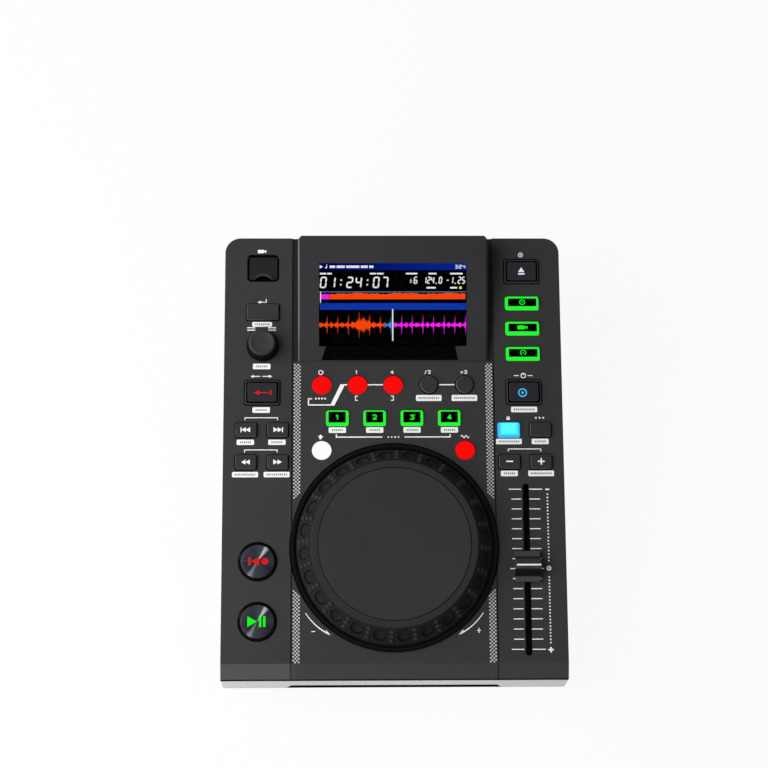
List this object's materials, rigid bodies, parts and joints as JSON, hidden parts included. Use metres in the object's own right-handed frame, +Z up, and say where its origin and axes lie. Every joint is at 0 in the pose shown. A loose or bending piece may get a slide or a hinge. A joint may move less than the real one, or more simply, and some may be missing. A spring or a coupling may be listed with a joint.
{
  "type": "dj media player",
  "caption": "Sloped tabletop media player with a jog wheel, pitch fader, browse knob, lit keys, a hooded display and a front disc slot.",
  "frame": {"origin": "on the table, under the middle of the player's box", "axes": "+X to the player's right, +Y to its back, +Z up"},
  "size_m": [0.22, 0.2854, 0.0977],
  "materials": {
    "cover_plastic": "fine moulded texture, dark grey",
    "case_plastic": "fine moulded texture, near black",
    "fascia_plastic": "satin light grey paint",
    "rear_steel": "black powder coat",
    "hood_plastic": "fine moulded texture, dark grey",
    "window_glass": "clear gloss",
    "display": "display module",
    "drive_steel": "plated sheet",
    "felt": "black felt",
    "board": "green solder mask",
    "switch_plastic": "moulded",
    "bezel_gloss": "black gloss",
    "bearing_steel": "turned",
    "jog_plastic": "moulded, dark grey",
    "jog_plate": "fine matte, dark grey",
    "knob_plastic": "soft touch, dark grey",
    "fader_plastic": "moulded, dark grey",
    "fader_metal": "plated",
    "socket_metal": "plated",
    "foot_rubber": "moulded",
    "screw_steel": "black oxide",
    "key_grey": "moulded, dark grey",
    "key_framed": "moulded, dark grey",
    "key_green": "translucent, lit green",
    "key_cyan": "translucent, lit cyan",
    "key_red": "translucent, lit red",
    "key_white": "translucent white",
    "transport_metal": "spun"
  },
  "bodies": {
    "chassis": {"top_cover": "cover_plastic", "lower_case": "case_plastic", "front_fascia": "fascia_plastic", "rear_panel": "rear_steel", "screen_hood": "hood_plastic", "screen_window": "window_glass", "display_panel": "display", "disc_drive_base": "drive_steel", "disc_drive_lid": "drive_steel", "slot_felt": "felt", "main_board": "board", "control_board": "board", "key_switches": "switch_plastic", "jog_bezel": "bezel_gloss", "jog_bearing": "bearing_steel", "fader_body": "fader_metal", "stick_socket": "socket_metal", "output_sockets": "socket_metal", "power_entry": "switch_plastic", "rubber_feet": "foot_rubber", "case_screws": "screw_steel"},
    "jog_wheel": {"jog_shaft": "bearing_steel", "jog_encoder_disc": "switch_plastic", "jog_ring": "jog_plastic", "jog_top_plate": "jog_plate"},
    "browse_shaft": {"browse_shaft": "fader_metal"},
    "browse_knob": {"browse_knob": "knob_plastic"},
    "fader": {"fader_carriage": "fader_metal", "fader_cap": "fader_plastic"},
    "stick_flap": {"stick_flap": "knob_plastic"},
    "power_rocker": {"power_rocker": "switch_plastic"},
    "back_key": {"back_key": "key_grey"},
    "reverse_key": {"reverse_key": "key_framed"},
    "track_back_key": {"track_back_key": "key_grey"},
    "track_next_key": {"track_next_key": "key_grey"},
    "search_back_key": {"search_back_key": "key_grey"},
    "search_next_key": {"search_next_key": "key_grey"},
    "cue_key": {"cue_key": "transport_metal"},
    "play_key": {"play_key": "transport_metal"},
    "eject_key": {"eject_key": "key_framed"},
    "source_disc_key": {"source_disc_key": "key_green"},
    "source_stick_key": {"source_stick_key": "key_green"},
    "source_link_key": {"source_link_key": "key_green"},
    "jog_mode_key": {"jog_mode_key": "key_framed"},
    "key_lock_key": {"key_lock_key": "key_cyan"},
    "tap_key": {"tap_key": "key_grey"},
    "bend_minus_key": {"bend_minus_key": "key_grey"},
    "bend_plus_key": {"bend_plus_key": "key_grey"},
    "loop_auto_key": {"loop_auto_key": "key_red"},
    "loop_in_key": {"loop_in_key": "key_red"},
    "loop_out_key": {"loop_out_key": "key_red"},
    "loop_half_key": {"loop_half_key": "key_grey"},
    "loop_double_key": {"loop_double_key": "key_grey"},
    "hot_cue_1_key": {"hot_cue_1_key": "key_green"},
    "hot_cue_2_key": {"hot_cue_2_key": "key_green"},
    "hot_cue_3_key": {"hot_cue_3_key": "key_green"},
    "hot_cue_4_key": {"hot_cue_4_key": "key_green"},
    "shift_key": {"shift_key": "key_white"},
    "slip_key": {"slip_key": "key_red"}
  },
  "joints": [
    {"name": "jog_turn", "type": "hinge", "parent": "chassis", "child": "jog_wheel", "pos_m": [0, -0.05998, 0.05365], "axis": [0, -0.1305, 0.9914], "continuous": true},
    {"name": "browse_turn", "type": "hinge", "parent": "chassis", "child": "browse_shaft", "pos_m": [-0.085, 0.07037, 0.07081], "axis": [0, -0.1305, 0.9914], "continuous": true},
    {"name": "browse_push", "type": "slide", "parent": "browse_shaft", "child": "browse_knob", "axis": [0, 0.1305, -0.9914], "range_m": [0, 0.0005], "stiffness_N_per_m": 1500},
    {"name": "fader_slide", "type": "slide", "parent": "chassis", "child": "fader", "axis": [0, 0.9914, 0.1305], "range_m": [-0.05, 0.05]},
    {"name": "flap_open", "type": "hinge", "parent": "chassis", "child": "stick_flap", "pos_m": [-0.085, 0.12982, 0.07702], "axis": [-1, 0, 0], "range_deg": [0, 95]},
    {"name": "power_rock", "type": "hinge", "parent": "chassis", "child": "power_rocker", "pos_m": [-0.076, 0.13125, 0.038], "axis": [-1, 0, 0], "range_deg": [0, 16]},
    {"name": "back_press", "type": "slide", "parent": "chassis", "child": "back_key", "axis": [0, 0.1305, -0.9914], "range_m": [0, 0.0012], "stiffness_N_per_m": 800},
    {"name": "reverse_press", "type": "slide", "parent": "chassis", "child": "reverse_key", "axis": [0, 0.1305, -0.9914], "range_m": [0, 0.0012], "stiffness_N_per_m": 800},
    {"name": "track_back_press", "type": "slide", "parent": "chassis", "child": "track_back_key", "axis": [0, 0.1305, -0.9914], "range_m": [0, 0.0012], "stiffness_N_per_m": 800},
    {"name": "track_next_press", "type": "slide", "parent": "chassis", "child": "track_next_key", "axis": [0, 0.1305, -0.9914], "range_m": [0, 0.0012], "stiffness_N_per_m": 800},
    {"name": "search_back_press", "type": "slide", "parent": "chassis", "child": "search_back_key", "axis": [0, 0.1305, -0.9914], "range_m": [0, 0.0012], "stiffness_N_per_m": 800},
    {"name": "search_next_press", "type": "slide", "parent": "chassis", "child": "search_next_key", "axis": [0, 0.1305, -0.9914], "range_m": [0, 0.0012], "stiffness_N_per_m": 800},
    {"name": "cue_press", "type": "slide", "parent": "chassis", "child": "cue_key", "axis": [0, 0.1305, -0.9914], "range_m": [0, 0.0012], "stiffness_N_per_m": 800},
    {"name": "play_press", "type": "slide", "parent": "chassis", "child": "play_key", "axis": [0, 0.1305, -0.9914], "range_m": [0, 0.0012], "stiffness_N_per_m": 800},
    {"name": "eject_press", "type": "slide", "parent": "chassis", "child": "eject_key", "axis": [0, 0.1305, -0.9914], "range_m": [0, 0.0012], "stiffness_N_per_m": 800},
    {"name": "source_disc_press", "type": "slide", "parent": "chassis", "child": "source_disc_key", "axis": [0, 0.1305, -0.9914], "range_m": [0, 0.0012], "stiffness_N_per_m": 800},
    {"name": "source_stick_press", "type": "slide", "parent": "chassis", "child": "source_stick_key", "axis": [0, 0.1305, -0.9914], "range_m": [0, 0.0012], "stiffness_N_per_m": 800},
    {"name": "source_link_press", "type": "slide", "parent": "chassis", "child": "source_link_key", "axis": [0, 0.1305, -0.9914], "range_m": [0, 0.0012], "stiffness_N_per_m": 800},
    {"name": "jog_mode_press", "type": "slide", "parent": "chassis", "child": "jog_mode_key", "axis": [0, 0.1305, -0.9914], "range_m": [0, 0.0012], "stiffness_N_per_m": 800},
    {"name": "key_lock_press", "type": "slide", "parent": "chassis", "child": "key_lock_key", "axis": [0, 0.1305, -0.9914], "range_m": [0, 0.0012], "stiffness_N_per_m": 800},
    {"name": "tap_press", "type": "slide", "parent": "chassis", "child": "tap_key", "axis": [0, 0.1305, -0.9914], "range_m": [0, 0.0012], "stiffness_N_per_m": 800},
    {"name": "bend_minus_press", "type": "slide", "parent": "chassis", "child": "bend_minus_key", "axis": [0, 0.1305, -0.9914], "range_m": [0, 0.0012], "stiffness_N_per_m": 800},
    {"name": "bend_plus_press", "type": "slide", "parent": "chassis", "child": "bend_plus_key", "axis": [0, 0.1305, -0.9914], "range_m": [0, 0.0012], "stiffness_N_per_m": 800},
    {"name": "loop_auto_press", "type": "slide", "parent": "chassis", "child": "loop_auto_key", "axis": [0, 0.1305, -0.9914], "range_m": [0, 0.0012], "stiffness_N_per_m": 800},
    {"name": "loop_in_press", "type": "slide", "parent": "chassis", "child": "loop_in_key", "axis": [0, 0.1305, -0.9914], "range_m": [0, 0.0012], "stiffness_N_per_m": 800},
    {"name": "loop_out_press", "type": "slide", "parent": "chassis", "child": "loop_out_key", "axis": [0, 0.1305, -0.9914], "range_m": [0, 0.0012], "stiffness_N_per_m": 800},
    {"name": "loop_half_press", "type": "slide", "parent": "chassis", "child": "loop_half_key", "axis": [0, 0.1305, -0.9914], "range_m": [0, 0.0012], "stiffness_N_per_m": 800},
    {"name": "loop_double_press", "type": "slide", "parent": "chassis", "child": "loop_double_key", "axis": [0, 0.1305, -0.9914], "range_m": [0, 0.0012], "stiffness_N_per_m": 800},
    {"name": "hot_cue_1_press", "type": "slide", "parent": "chassis", "child": "hot_cue_1_key", "axis": [0, 0.1305, -0.9914], "range_m": [0, 0.0012], "stiffness_N_per_m": 800},
    {"name": "hot_cue_2_press", "type": "slide", "parent": "chassis", "child": "hot_cue_2_key", "axis": [0, 0.1305, -0.9914], "range_m": [0, 0.0012], "stiffness_N_per_m": 800},
    {"name": "hot_cue_3_press", "type": "slide", "parent": "chassis", "child": "hot_cue_3_key", "axis": [0, 0.1305, -0.9914], "range_m": [0, 0.0012], "stiffness_N_per_m": 800},
    {"name": "hot_cue_4_press", "type": "slide", "parent": "chassis", "child": "hot_cue_4_key", "axis": [0, 0.1305, -0.9914], "range_m": [0, 0.0012], "stiffness_N_per_m": 800},
    {"name": "shift_press", "type": "slide", "parent": "chassis", "child": "shift_key", "axis": [0, 0.1305, -0.9914], "range_m": [0, 0.0012], "stiffness_N_per_m": 800},
    {"name": "slip_press", "type": "slide", "parent": "chassis", "child": "slip_key", "axis": [0, 0.1305, -0.9914], "range_m": [0, 0.0012], "stiffness_N_per_m": 800}
  ]
}
